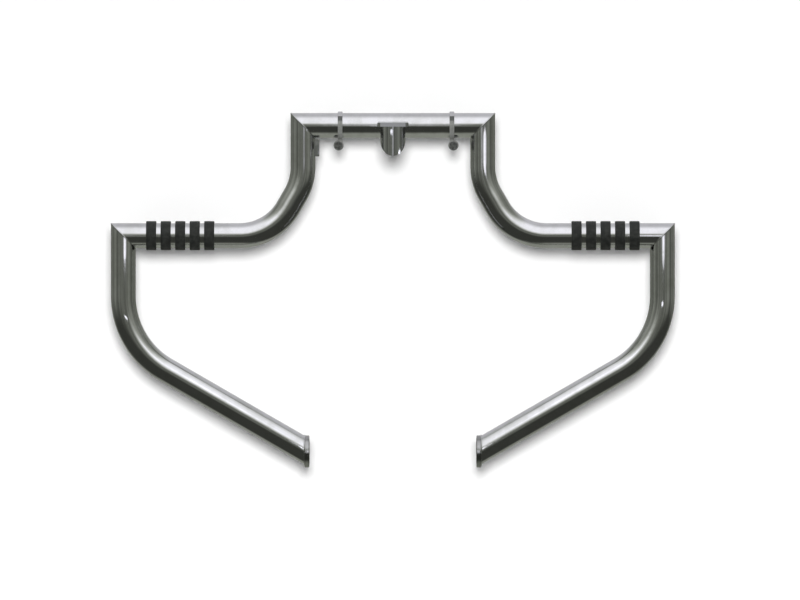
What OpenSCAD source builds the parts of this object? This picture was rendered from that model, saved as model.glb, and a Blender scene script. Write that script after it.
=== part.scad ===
// Crash bars for a cruiser motorcycle, in chromed steel tube with rubber foot-rest rings.
// Origin: middle of the crossbar's axis. X runs from left to right, -Y is the front, Z is up.

/* [Tube] */
// Outside diameter of every tube
tube_d = 31.75; // [25.4:0.05:38.1]
// Wall of every tube
tube_wall = 3; // [1.5:0.1:5]

/* [Upper legs] */
// Distance between the centre lines of the two inner uprights
upright_span = 230; // [210:1:300]
// Height of the crossbar's axis above the foot-rest axis
shoulder_drop = 141; // [125:1:200]
// Radius of the two shoulder bends, at the centre line
shoulder_r = 72; // [60:1:80]
// Turn of the first shoulder bend, in degrees
first_turn = 30; // [15:1:60]
// Straight stretch between the two shoulder bends
slant_run = 19; // [5:1:30]

/* [Lower legs] */
// Distance between the centre lines of the two outer uprights
outer_span = 690; // [650:1:760]
// Straight length of an outer upright, from its mitre to its bend
outer_run = 77; // [60:1:120]
// Radius of the knee bend, at the centre line
knee_r = 110; // [85:1:125]
// Turn of the knee bend, in degrees
knee_turn = 60; // [50:1:68]

/* [End plates] */
// Free distance between the inner faces of the two end plates
plate_gap = 214; // [180:1:260]
// Thickness of an end plate
plate_t = 6; // [4:0.5:10]
// Width of the plate's rim round the tube that is welded to its round head
plate_rim = 4.625; // [3:0.125:8]
// Radius of the plate's round tab
plate_tab_r = 15; // [12:0.5:18]
// Distance of the bolt hole behind the tube's axis
bolt_back = 40; // [36:1:55]
// Diameter of the bolt hole
bolt_hole_d = 11; // [8.5:0.5:13]

/* [Centre bracket] */
// Width of the tongue
tongue_w = 32; // [24:1:40]
// Wall of the tongue
tongue_wall = 3; // [2:0.5:5]
// Depth of the tongue in front of the crossbar
tongue_depth = 15; // [10:1:22]
// Drop of the tongue's tip below the crossbar's axis
tongue_drop = 39.5; // [34:0.5:50]
// Slope of the tongue's cut end, in degrees from level
tongue_cut = 52.5; // [45:0.5:58]
// Width that the flange stands out on each side of the tongue
flange_lip = 4; // [2:0.5:8]
// Distance that the flange stands out in front of the tongue
flange_nose = 1; // [0:0.5:3]
// Thickness of the flange
flange_t = 5; // [3:0.5:6]
// Height of the flange's top above the crossbar's axis
flange_top = 3; // [2:0.5:6]
// Radius of the flange's front corners
flange_corner_r = 4; // [2:0.5:5]

/* [Left tab] */
// Distance that the tab stands out from the left inner upright
tab_out = 5; // [3:0.5:8]
// Height of the tab
tab_h = 23; // [15:1:30]
// Thickness of the tab
tab_t = 6; // [4:0.5:8]
// Gap between the tab and the crossbar
tab_gap = 0.8; // [0.3:0.1:3]
// Rounding of the tab's free corners
tab_corner_r = 1.2; // [0.5:0.1:2]

/* [Foot-rest rings] */
// Number of rings on each side
ring_count = 5; // [3:1:6]
// Free tube between the last ring and the outer upright
ring_clear = 13.4; // [8:0.1:20]
// Distance from one ring to the next, as a share of the foot rest's free length
ring_pitch_share = 0.14; // [0.1:0.01:0.16]
// Width of a ring along the tube, as a share of the distance from ring to ring
ring_share = 0.7; // [0.5:0.05:0.8]
// Thickness of a ring over the tube
ring_t = 2.7; // [2:0.1:6]
// Rounding of a ring's outer edges
ring_edge_r = 0.9; // [0.3:0.1:1.5]
// Radial play between a ring and the tube
ring_play = 0.05; // [0.02:0.01:0.3]

/* [Strap clamps] */
// Distance of the left strap clamp from the symmetry plane
left_clamp_x = 67.5; // [40:0.5:80]
// Distance of the right strap clamp from the symmetry plane
right_clamp_x = 75.5; // [40:0.5:80]
// Width of the strap
strap_w = 6; // [5:0.5:9]
// Thickness of the strap
strap_t = 2; // [1.5:0.1:3]
// Gap between the strap's two ears
ear_gap = 3; // [1:0.5:4]
// Radius of the bend between the strap and an ear
ear_bend_r = 3; // [2:0.5:4]
// Radius of an ear's round eye
ear_r = 6.5; // [6:0.5:8]
// Distance that the eye stands outboard of the strap's middle
ear_offset = 2; // [0:0.5:3]
// Drop of the clamp bolt below the crossbar's surface
clamp_bolt_drop = 9.6; // [9:0.1:14]

/* [Clamp bolts] */
// Thread diameter of the clamp bolts
bolt_d = 6; // [5:0.5:6]
// Length of a bolt under its head
bolt_len = 16; // [16:1:25]
// Width of a bolt head and nut across the flats
hex_af = 10; // [9:0.5:11]
// Height of a bolt head
head_h = 4; // [3:0.5:5]
// Height of a nut
nut_h = 5; // [4:0.5:6]
// Outside diameter of a washer
washer_d = 11; // [10:0.5:11.5]
// Thickness of a washer
washer_t = 1.6; // [1:0.1:2]
// Radial play of a bolt in the ears and the washer
hole_play = 0.3; // [0.1:0.1:0.5]
// Radial play between the bolt's shank and the nut's thread
thread_play = 0.05; // [0.02:0.01:0.1]

/* [Hidden] */
$fn = 96;
tube_r = tube_d / 2;
bore_r = tube_r - tube_wall;
// Overlap that carries a cut clear through a surface
cut = 1;
// Edge of a cutting block that is larger than the whole bar
block = 1200;
// Amount by which a bend's surfaces stand off those of the straight tube
hair = 0.05;
// Depth that a straight tube bites into the end of a bend
bite = 0.5;

upright_x = upright_span / 2;
outer_x = outer_span / 2;
foot_z = -shoulder_drop;
second_turn = 90 - first_turn;
// Straight lengths that the bends leave on an upper leg
upright_run = shoulder_drop - shoulder_r - slant_run * cos(first_turn);
rest_run = outer_x - upright_x - shoulder_r - slant_run * sin(first_turn);

plate_head_r = tube_r + plate_rim;
plate_face_x = plate_gap / 2 + plate_t;
knee_x = outer_x - knee_r * (1 - cos(knee_turn));
knee_z = foot_z - outer_run - knee_r * sin(knee_turn);
brace_run = (knee_x - plate_face_x) / sin(knee_turn);
// The plate is centred where the tube's axis meets its middle plane
plate_z = knee_z - (knee_x - plate_face_x + plate_t / 2) / tan(knee_turn);

tongue_r = tongue_w / 2;
tongue_y = -tube_r - tongue_depth + tongue_r;
flange_y = -tube_r - tongue_depth - flange_nose;

// The rings share the foot rest between the shoulder and the outer upright
ring_pitch = (rest_run - tube_r) * ring_pitch_share;
ring_w = ring_pitch * ring_share;
ring_outer_x = outer_x - tube_r - ring_clear - ring_w / 2;

strap_r = tube_r + strap_t;
ear_y = ear_gap / 2 + strap_t;
clamp_bolt_z = -tube_r - clamp_bolt_drop;
hex_r = hex_af / 2 / cos(30);
clamp_hole_r = bolt_d / 2 + hole_play;
shank_r = bolt_d / 2 - thread_play;
tip_chamfer = bolt_d / 10;

chrome = [0.78, 0.79, 0.80];
zinc = [0.70, 0.71, 0.72];
rubber = [0.11, 0.11, 0.12];

// Straight tube along -Z from a lead above the origin to its run and a tail below it
module straight(run, lead = 0, tail = 0) {
    translate([0, 0, -run - tail]) difference() {
        cylinder(r = tube_r, h = run + lead + tail);
        translate([0, 0, -cut]) cylinder(r = bore_r, h = run + lead + tail + 2 * cut);
    }
}

// Plane of a bend that starts down along -Z and turns towards +X, seen from the bend's centre
module bend_plane(bend_r) {
    translate([bend_r, 0, 0]) rotate([90, 0, 0]) rotate([0, 0, 180]) children();
}

// Bent tube in that plane, with a wall a hair thicker than the straights that bite into its ends
module bend(bend_r, turn) {
    bend_plane(bend_r) rotate_extrude(angle = turn) translate([bend_r, 0]) difference() {
        circle(r = tube_r + hair);
        circle(r = bore_r - hair);
    }
}

// Moves its children to the far end of such a bend, facing on along the tube
module after_bend(bend_r, turn) {
    bend_plane(bend_r) rotate([0, 0, turn]) translate([bend_r, 0, 0])
        rotate([0, 0, 180]) rotate([-90, 0, 0]) children();
}

// Half space on the inner and upper side of the 45 degree mitre through (x, z)
module above_mitre(x, z) {
    translate([x, 0, z]) rotate([0, -45, 0]) translate([-block / 2, -block / 2, 0])
        cube([block, block, block]);
}

// Half space on the outer and lower side of the 45 degree mitre through (x, z)
module below_mitre(x, z) {
    translate([x, 0, z]) rotate([0, -45, 0]) translate([-block / 2, -block / 2, -block])
        cube([block, block, block]);
}

// Half space outboard of the outer face of the right end plate
module outboard_of_plate() {
    translate([plate_face_x, -block / 2, -block]) cube([block, block, block]);
}

// Right upper leg: inner upright, shoulder and foot rest in one bent tube, mitred at both ends
module upper_leg() {
    color(chrome) intersection() {
        translate([upright_x, 0, 0]) union() {
            intersection() {
                straight(upright_run, tube_d, bite);
                below_mitre(0, 0);
            }
            translate([0, 0, -upright_run]) {
                bend(shoulder_r, first_turn);
                after_bend(shoulder_r, first_turn) {
                    straight(slant_run, bite, bite);
                    translate([0, 0, -slant_run]) {
                        bend(shoulder_r, second_turn);
                        after_bend(shoulder_r, second_turn)
                            straight(rest_run, bite, tube_d);
                    }
                }
            }
        }
        above_mitre(outer_x, foot_z);
    }
}

// Right lower leg: outer upright, knee and brace in one bent tube, cut off upright at its plate
module lower_leg() {
    color(chrome) intersection() {
        translate([outer_x, 0, foot_z]) union() {
            intersection() {
                straight(outer_run, tube_d, bite);
                below_mitre(0, 0);
            }
            translate([0, 0, -outer_run]) mirror([1, 0, 0]) {
                bend(knee_r, knee_turn);
                after_bend(knee_r, knee_turn) straight(brace_run, bite, tube_d);
            }
        }
        outboard_of_plate();
    }
}

// Crossbar: straight tube, mitred at both ends
module crossbar() {
    color(chrome) intersection() {
        difference() {
            rotate([0, 90, 0]) cylinder(r = tube_r, h = upright_span + 2 * tube_d, center = true);
            rotate([0, 90, 0]) cylinder(r = bore_r, h = upright_span + 4 * tube_d, center = true);
        }
        above_mitre(upright_x, 0);
        mirror([1, 0, 0]) above_mitre(upright_x, 0);
    }
}

// Flat outline of an end plate: round head, straight tangent sides and round tab
module plate_outline() {
    lean = acos((plate_head_r - plate_tab_r) / bolt_back);
    circle(r = plate_head_r);
    translate([bolt_back, 0]) circle(r = plate_tab_r);
    polygon([
        [plate_head_r * cos(lean), -plate_head_r * sin(lean)],
        [bolt_back + plate_tab_r * cos(lean), -plate_tab_r * sin(lean)],
        [bolt_back + plate_tab_r * cos(lean), plate_tab_r * sin(lean)],
        [plate_head_r * cos(lean), plate_head_r * sin(lean)]]);
}

// Right end plate: the tube's end is welded to its head, and its tab is bolted to the motorcycle
module end_plate() {
    color(chrome) translate([plate_gap / 2, 0, plate_z]) rotate([90, 0, 90])
        difference() {
            linear_extrude(height = plate_t) plate_outline();
            translate([bolt_back, 0, -cut])
                cylinder(d = bolt_hole_d, h = plate_t + 2 * cut);
        }
}

// Plan of the tongue: half round in front, with straight sides that run back to the crossbar
module tongue_plan(r) {
    translate([0, tongue_y]) circle(r = r);
    translate([-r, tongue_y]) square([2 * r, -tongue_y]);
}

// Plan of the flange, with rounded front corners
module flange_plan() {
    half = tongue_r + flange_lip;
    translate([-half, flange_y + flange_corner_r])
        square([2 * half, -flange_y - flange_corner_r]);
    translate([-half + flange_corner_r, flange_y])
        square([2 * (half - flange_corner_r), flange_corner_r]);
    for (side = [-1, 1])
        translate([side * (half - flange_corner_r), flange_y + flange_corner_r])
            circle(r = flange_corner_r);
}

// Centre bracket: half-round tongue with a sloping cut end, under a flange, coped to the crossbar
module centre_bracket() {
    color(chrome) difference() {
        union() {
            translate([0, 0, flange_top - flange_t]) linear_extrude(height = flange_t)
                flange_plan();
            difference() {
                translate([0, 0, -tongue_drop])
                    linear_extrude(height = tongue_drop + flange_top - flange_t)
                        difference() {
                            tongue_plan(tongue_r);
                            tongue_plan(tongue_r - tongue_wall);
                        }
                // The lower end rises to the rear from the tip of the tongue
                translate([0, tongue_y - tongue_r, -tongue_drop]) rotate([tongue_cut, 0, 0])
                    translate([-block / 2, -block / 2, -block]) cube([block, block, block]);
            }
        }
        rotate([0, 90, 0]) cylinder(r = tube_r, h = block, center = true);
        translate([-block / 2, 0, -block / 2]) cube([block, block, block]);
    }
}

// Tab on the inner side of an inner upright, just under the crossbar, coped to the tube
module upright_tab() {
    reach = tab_out + tube_r;
    color(chrome) difference() {
        translate([upright_x - reach, tab_t / 2, -tube_r - tab_gap - tab_h]) rotate([90, 0, 0])
            linear_extrude(height = tab_t) {
                translate([tab_corner_r, 0]) square([reach - tab_corner_r, tab_h]);
                translate([0, tab_corner_r]) square([tab_corner_r, tab_h - 2 * tab_corner_r]);
                for (height = [tab_corner_r, tab_h - tab_corner_r])
                    translate([tab_corner_r, height]) circle(r = tab_corner_r);
            }
        translate([upright_x, 0, -block / 2]) cylinder(r = tube_r, h = block);
    }
}

// Section of a ring: flat band with rounded outer edges, seated on the tube
module ring_section() {
    translate([tube_r + ring_play, -ring_w / 2]) {
        square([ring_t - ring_edge_r, ring_w]);
        translate([0, ring_edge_r]) square([ring_t, ring_w - 2 * ring_edge_r]);
        for (height = [ring_edge_r, ring_w - ring_edge_r])
            translate([ring_t - ring_edge_r, height]) circle(r = ring_edge_r);
    }
}

// One rubber ring on the right foot rest, counted from the inside
module ring(index) {
    color(rubber) translate([ring_outer_x - (ring_count - index) * ring_pitch, 0, foot_z])
        rotate([0, 90, 0]) rotate_extrude() ring_section();
}

// A ring that is only there if the count reaches it
module counted_ring(index) {
    if (index <= ring_count) ring(index);
}

// Side profile of a strap clamp: open loop round the crossbar, with two ears below it
module strap_profile() {
    // Centre of the concave bend between the loop and an ear
    fillet_y = ear_y + ear_bend_r;
    fillet_z = -sqrt(pow(strap_r + ear_bend_r, 2) - pow(fillet_y, 2));
    meet = strap_r / (strap_r + ear_bend_r);
    difference() {
        union() {
            circle(r = strap_r);
            translate([-ear_y, clamp_bolt_z]) square([2 * ear_y, -clamp_bolt_z]);
            for (side = [-1, 1]) difference() {
                polygon([[0, -bore_r], [side * fillet_y * meet, fillet_z * meet],
                    [side * fillet_y, fillet_z], [side * ear_y, fillet_z], [0, fillet_z]]);
                translate([side * fillet_y, fillet_z]) circle(r = ear_bend_r);
            }
        }
        circle(r = tube_r);
        translate([-ear_gap / 2, clamp_bolt_z - cut]) square([ear_gap, -clamp_bolt_z]);
    }
}

// Flat outline of an ear: round eye that tapers up to the strap
module ear_outline() {
    translate([ear_offset, 0]) circle(r = ear_r);
    polygon([[-strap_w / 2, ear_r], [strap_w / 2, ear_r], [ear_offset + ear_r, 0],
        [ear_offset - ear_r, 0]]);
}

// Strap clamp whose eyes stand out towards +X
module strap() {
    color(chrome) difference() {
        union() {
            rotate([90, 0, 90]) linear_extrude(height = strap_w, center = true)
                strap_profile();
            for (side = [-1, 1])
                translate([0, side * (ear_y - strap_t / 2) + strap_t / 2, clamp_bolt_z])
                    rotate([90, 0, 0]) linear_extrude(height = strap_t) ear_outline();
        }
        translate([ear_offset, 0, clamp_bolt_z]) rotate([90, 0, 0])
            cylinder(r = clamp_hole_r, h = 4 * ear_y, center = true);
    }
}

// Hexagonal prism of height h from z = 0, with its corners chamfered at the far end
module hex_block(h) {
    intersection() {
        cylinder(r = hex_r, h = h, $fn = 6);
        cylinder(r1 = hex_af / 2 + h / tan(30), r2 = hex_af / 2, h = h);
    }
}

// Clamp bolt: its head bears on the front ear
module clamp_bolt() {
    color(zinc) translate([ear_offset, -ear_y, clamp_bolt_z]) rotate([90, 0, 0]) {
        hex_block(head_h);
        translate([0, 0, tip_chamfer - bolt_len]) cylinder(r = shank_r, h = bolt_len);
        translate([0, 0, -bolt_len])
            cylinder(r1 = shank_r - tip_chamfer, r2 = shank_r, h = tip_chamfer);
    }
}

// Washer behind the rear ear
module clamp_washer() {
    color(zinc) translate([ear_offset, ear_y, clamp_bolt_z]) rotate([-90, 0, 0])
        difference() {
            cylinder(d = washer_d, h = washer_t);
            translate([0, 0, -cut]) cylinder(r = clamp_hole_r, h = washer_t + 2 * cut);
        }
}

// Nut behind the washer
module clamp_nut() {
    color(zinc) translate([ear_offset, ear_y + washer_t, clamp_bolt_z]) rotate([-90, 0, 0])
        difference() {
            hex_block(nut_h);
            translate([0, 0, -cut]) cylinder(d = bolt_d, h = nut_h + 2 * cut);
        }
}

// Places a right-hand piece on the left
module on_left() {
    mirror([1, 0, 0]) children();
}

module left_clamp() {
    on_left() translate([left_clamp_x, 0, 0]) children();
}

module right_clamp() {
    translate([right_clamp_x, 0, 0]) children();
}

crossbar();
on_left() upper_leg();  // left_upper_leg
upper_leg();  // right_upper_leg
on_left() lower_leg();  // left_lower_leg
lower_leg();  // right_lower_leg
on_left() end_plate();  // left_end_plate
end_plate();  // right_end_plate
centre_bracket();
on_left() upright_tab();  // left_tab
on_left() counted_ring(1);  // left_ring_1
on_left() counted_ring(2);  // left_ring_2
on_left() counted_ring(3);  // left_ring_3
on_left() counted_ring(4);  // left_ring_4
on_left() counted_ring(5);  // left_ring_5
counted_ring(1);  // right_ring_1
counted_ring(2);  // right_ring_2
counted_ring(3);  // right_ring_3
counted_ring(4);  // right_ring_4
counted_ring(5);  // right_ring_5
left_clamp() strap();  // left_strap
right_clamp() strap();  // right_strap
left_clamp() clamp_bolt();  // left_clamp_bolt
right_clamp() clamp_bolt();  // right_clamp_bolt
left_clamp() clamp_washer();  // left_clamp_washer
right_clamp() clamp_washer();  // right_clamp_washer
left_clamp() clamp_nut();  // left_clamp_nut
right_clamp() clamp_nut();  // right_clamp_nut
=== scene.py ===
"""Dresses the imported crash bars: chromed tube, rubber rings, strap clamps, studio and camera.

Lengths in the classes are in millimetres; every mesh is made in metres in the part's own frame.
"""

import logging
from dataclasses import dataclass, field
from enum import Enum
from functools import cached_property
from math import acos, atan2, cos, pi, radians, sin, sqrt, tan
from typing import Callable, Iterable, Mapping, Sequence

import bpy
from mathutils import Matrix, Vector


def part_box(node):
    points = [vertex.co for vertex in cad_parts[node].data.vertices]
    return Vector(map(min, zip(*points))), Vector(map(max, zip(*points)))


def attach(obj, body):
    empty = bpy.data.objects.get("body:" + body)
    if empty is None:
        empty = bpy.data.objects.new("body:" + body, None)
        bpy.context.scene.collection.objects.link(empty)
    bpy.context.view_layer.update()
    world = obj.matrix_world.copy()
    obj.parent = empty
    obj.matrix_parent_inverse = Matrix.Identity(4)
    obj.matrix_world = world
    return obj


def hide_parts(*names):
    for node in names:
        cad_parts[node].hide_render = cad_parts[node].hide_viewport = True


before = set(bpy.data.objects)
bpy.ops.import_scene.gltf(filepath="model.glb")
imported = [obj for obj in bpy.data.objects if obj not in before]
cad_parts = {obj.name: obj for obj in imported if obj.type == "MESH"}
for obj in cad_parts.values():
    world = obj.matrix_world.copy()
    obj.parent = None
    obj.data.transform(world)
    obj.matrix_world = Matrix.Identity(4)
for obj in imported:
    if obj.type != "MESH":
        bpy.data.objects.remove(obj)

log = logging.getLogger("crash_bars")

MM = 0.001
ROUND = 96
BEND_STEP_DEG = 1.25

Flat = tuple[float, float]
Point = tuple[float, float, float]
Station = tuple[float, float, float]
Plane = tuple[float, float, float, float]
Loop = list[int]


class Side(Enum):
    """The side of the symmetry plane that a piece is on."""

    LEFT = -1
    RIGHT = 1

    @property
    def word(self) -> str:
        """The word that the CAD node's name starts with."""
        return self.name.lower()


class Slot(Enum):
    """The record's material slots."""

    TUBE = "chrome_tube"
    PLATE = "chrome_plate"
    BRACKET = "chrome_bracket"
    STRAP = "plated_strap"
    FASTENER = "plated_fastener"
    RUBBER = "ring_rubber"


class Join(Enum):
    """What a Boolean does with its tool."""

    DIFFERENCE = "cut away"
    UNION = "joined on"


class Opening(Enum):
    """A lamp's outline, with the share of its rectangle that it fills."""

    ELLIPSE = pi / 4
    RECTANGLE = 1.0


# Meshes


class Shell:
    """A closed mesh that is built from rows of points, in millimetres."""

    def __init__(self) -> None:
        """Starts an empty shell."""
        self.points: list[Point] = []
        self.faces: list[tuple[int, ...]] = []

    def row(self, points: Iterable[Point]) -> Loop:
        """Adds a row of points.

        Args:
            points: The points, in order.

        Returns:
            The indexes of the new points.
        """
        start = len(self.points)
        self.points.extend(points)
        return list(range(start, len(self.points)))

    def bridge(self, first: Loop, second: Loop, flip: bool = False) -> None:
        """Joins two closed rows of equal length with a strip of quads.

        Args:
            first: The first row.
            second: The second row.
            flip: Turns the faces round.
        """
        count = len(first)
        for k in range(count):
            n = (k + 1) % count
            quad = (first[k], second[k], second[n], first[n])
            self.faces.append(quad[::-1] if flip else quad)

    def stack(self, rows: Iterable[Iterable[Point]], flip: bool = False) -> list[Loop]:
        """Adds rows of points and joins each with the next.

        Args:
            rows: The rows, all of one length.
            flip: Turns the faces round.

        Returns:
            The indexes of each row.
        """
        loops = [self.row(row) for row in rows]
        for first, second in zip(loops, loops[1:]):
            self.bridge(first, second, flip)
        return loops

    def capped(self, loops: Sequence[Loop]) -> "Shell":
        """Closes the first and the last row of a stack, and returns the shell."""
        self.faces += [tuple(loops[0]), tuple(loops[-1][::-1])]
        return self

    def joined(self, other: "Shell") -> "Shell":
        """Adds another shell's points and faces.

        Args:
            other: The other shell.

        Returns:
            This shell.
        """
        base = len(self.points)
        self.points += other.points
        self.faces += [tuple(i + base for i in face) for face in other.faces]
        return self

    def placed(self, move: Callable[[Point], Point], mirrored: bool = False) -> "Shell":
        """Returns a copy whose points are moved.

        Args:
            move: Gives a point's new place.
            mirrored: The move turns the shell inside out, so its faces are turned back.

        Returns:
            The new shell.
        """
        copy = Shell()
        copy.points = [move(p) for p in self.points]
        copy.faces = [f[::-1] for f in self.faces] if mirrored else list(self.faces)
        return copy

    def on(self, side: Side) -> "Shell":
        """Mirrors a right-hand shell for the left side.

        Args:
            side: The side that the shell is wanted for.

        Returns:
            The shell for that side.
        """
        if side is Side.RIGHT:
            return self
        return self.placed(lambda p: (-p[0], p[1], p[2]), mirrored=True)

    def moved(self, x: float = 0.0, z: float = 0.0) -> "Shell":
        """Returns a copy that is moved along the axes."""
        return self.placed(lambda p: (p[0] + x, p[1], p[2] + z))

    def volume(self) -> float:
        """Works out which way the faces point.

        Returns:
            The signed volume, which is positive if they point outwards.
        """
        total = 0.0
        for face in self.faces:
            a = Vector(self.points[face[0]])
            for i in range(1, len(face) - 1):
                b, c = Vector(self.points[face[i]]), Vector(self.points[face[i + 1]])
                total += a.dot(b.cross(c))
        return total / 6

    def made(self, name: str, sharp_deg: float = 32.0) -> bpy.types.Object:
        """Makes the Blender object.

        Args:
            name: The piece's name.
            sharp_deg: Edges that turn by more than this stay sharp.

        Returns:
            The object, at the origin.
        """
        faces = self.faces if self.volume() > 0 else [f[::-1] for f in self.faces]
        mesh = meshed(name, self.points, faces=faces)
        mesh.validate()
        return smoothed(linked(name, mesh), sharp_deg)


def circle(count: int = ROUND) -> list[Flat]:
    """Returns the cosine and sine at equal steps round a circle."""
    return [(cos(2 * pi * k / count), sin(2 * pi * k / count)) for k in range(count)]


def spun(rows: Iterable[Sequence[Flat]], ring: bool = False) -> Shell:
    """Lays rows round the Z axis and joins each with the next.

    Args:
        rows: The rows, each with a radius and a height at every step round the axis.
        ring: The last row joins the first; otherwise both are closed with a face.

    Returns:
        The shell.
    """
    shell = Shell()
    loops = shell.stack(
        [(r * c, r * s, h) for (c, s), (r, h) in zip(circle(len(row)), row)] for row in rows
    )
    if not ring:
        return shell.capped(loops)
    shell.bridge(loops[-1], loops[0])
    return shell


def rod(r: float, low: float, high: float, count: int) -> Shell:
    """Returns a solid round bar along the Z axis."""
    return spun([[(r, low)] * count, [(r, high)] * count])


def arc(centre: Flat, r: float, start_deg: float, end_deg: float, steps: int = 6) -> list[Flat]:
    """Returns the points of an arc, from one angle to another."""
    angles = [radians(start_deg + (end_deg - start_deg) * i / steps) for i in range(steps + 1)]
    return [(centre[0] + r * cos(a), centre[1] + r * sin(a)) for a in angles]


def eased(thick: float, edge: float, steps: int = 4) -> list[Flat]:
    """Returns how far an outline is set in at each depth of a plate with rounded edges.

    Args:
        thick: Thickness of the plate.
        edge: Radius of its edges.
        steps: Steps round an edge.

    Returns:
        The insets and depths, from one face to the other.
    """
    angles = [radians(90 * i / steps) for i in range(steps + 1)]
    near = [(edge * (1 - sin(a)), edge * (1 - cos(a))) for a in angles]
    return near + [(inset, thick - depth) for inset, depth in near[::-1]]


def meshed(
    name: str, points: Iterable[Point], edges: Sequence[tuple[int, int]] = (),
    faces: Sequence[tuple[int, ...]] = (),
) -> bpy.types.Mesh:
    """Makes a mesh in metres from points in millimetres.

    Args:
        name: The mesh's name.
        points: The points.
        edges: Pairs of indexes, for a line.
        faces: Rows of indexes, for a surface.

    Returns:
        The mesh.
    """
    mesh = bpy.data.meshes.new(name)
    mesh.from_pydata([(x * MM, y * MM, z * MM) for x, y, z in points], edges, faces)
    return mesh


def linked(name: str, data: bpy.types.ID) -> bpy.types.Object:
    """Makes an object and links it to the scene.

    Args:
        name: The object's name.
        data: Its mesh, lamp or camera.

    Returns:
        The object, at the origin.
    """
    obj = bpy.data.objects.new(name, data)
    bpy.context.scene.collection.objects.link(obj)
    return obj


def plain(obj: bpy.types.Object) -> bpy.types.Object:
    """Turns an object with modifiers into a plain mesh of its result.

    Args:
        obj: The object.

    Returns:
        The same object, with no modifiers.
    """
    graph = bpy.context.evaluated_depsgraph_get()
    mesh = bpy.data.meshes.new_from_object(obj.evaluated_get(graph))
    obj.modifiers.clear()
    obj.data = mesh
    return obj


def modified(obj: bpy.types.Object, kind: str, **settings: object) -> bpy.types.Object:
    """Applies one modifier to an object.

    Args:
        obj: The object.
        kind: The modifier's type.
        settings: Attributes that are set on it.

    Returns:
        The same object, with a plain mesh.
    """
    modifier = obj.modifiers.new(kind.lower(), kind)
    for name, value in settings.items():
        setattr(modifier, name, value)
    return plain(obj)


def smoothed(obj: bpy.types.Object, sharp_deg: float) -> bpy.types.Object:
    """Smooths an object, with flat faces kept flat next to their rounded edges.

    Args:
        obj: The object.
        sharp_deg: Edges that turn by more than this stay sharp.

    Returns:
        The same object, with a plain mesh.
    """
    mesh = obj.data
    mesh.polygons.foreach_set("use_smooth", [True] * len(mesh.polygons))
    mesh.set_sharp_from_angle(angle=radians(sharp_deg))
    return modified(obj, "WEIGHTED_NORMAL", mode="FACE_AREA", keep_sharp=True)


def cut(obj: bpy.types.Object, tool: Shell, how: Join = Join.DIFFERENCE) -> None:
    """Applies a Boolean to an object.

    Args:
        obj: The object.
        tool: The shell that is cut away or joined on.
        how: Which of the two.
    """
    other = tool.made("tool")
    modified(obj, "BOOLEAN", operation=how.name, solver="MANIFOLD", object=other)
    bpy.data.objects.remove(other)


def dressed(
    obj: bpy.types.Object, finish: bpy.types.Material, stands_for: Sequence[str] = ()
) -> bpy.types.Object:
    """Gives a piece its finish and body, and logs it.

    Args:
        obj: The finished piece.
        finish: Its material.
        stands_for: The CAD nodes that it stands for.

    Returns:
        The piece.
    """
    obj.data.materials.clear()
    obj.data.materials.append(finish)
    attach(obj, "root")
    if stands_for:
        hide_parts(*stands_for)
    spread = 0.0
    if len(stands_for) == 1:
        low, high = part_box(stands_for[0])
        points = [v.co for v in obj.data.vertices]
        mine = [(min(p[i] for p in points), max(p[i] for p in points)) for i in range(3)]
        spread = max(max(abs(mine[i][0] - low[i]), abs(mine[i][1] - high[i])) for i in range(3))
    log.info("%-24s %6d faces, box off by %.2f mm", obj.name, len(obj.data.polygons), spread / MM)
    return obj


# Node trees


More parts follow.
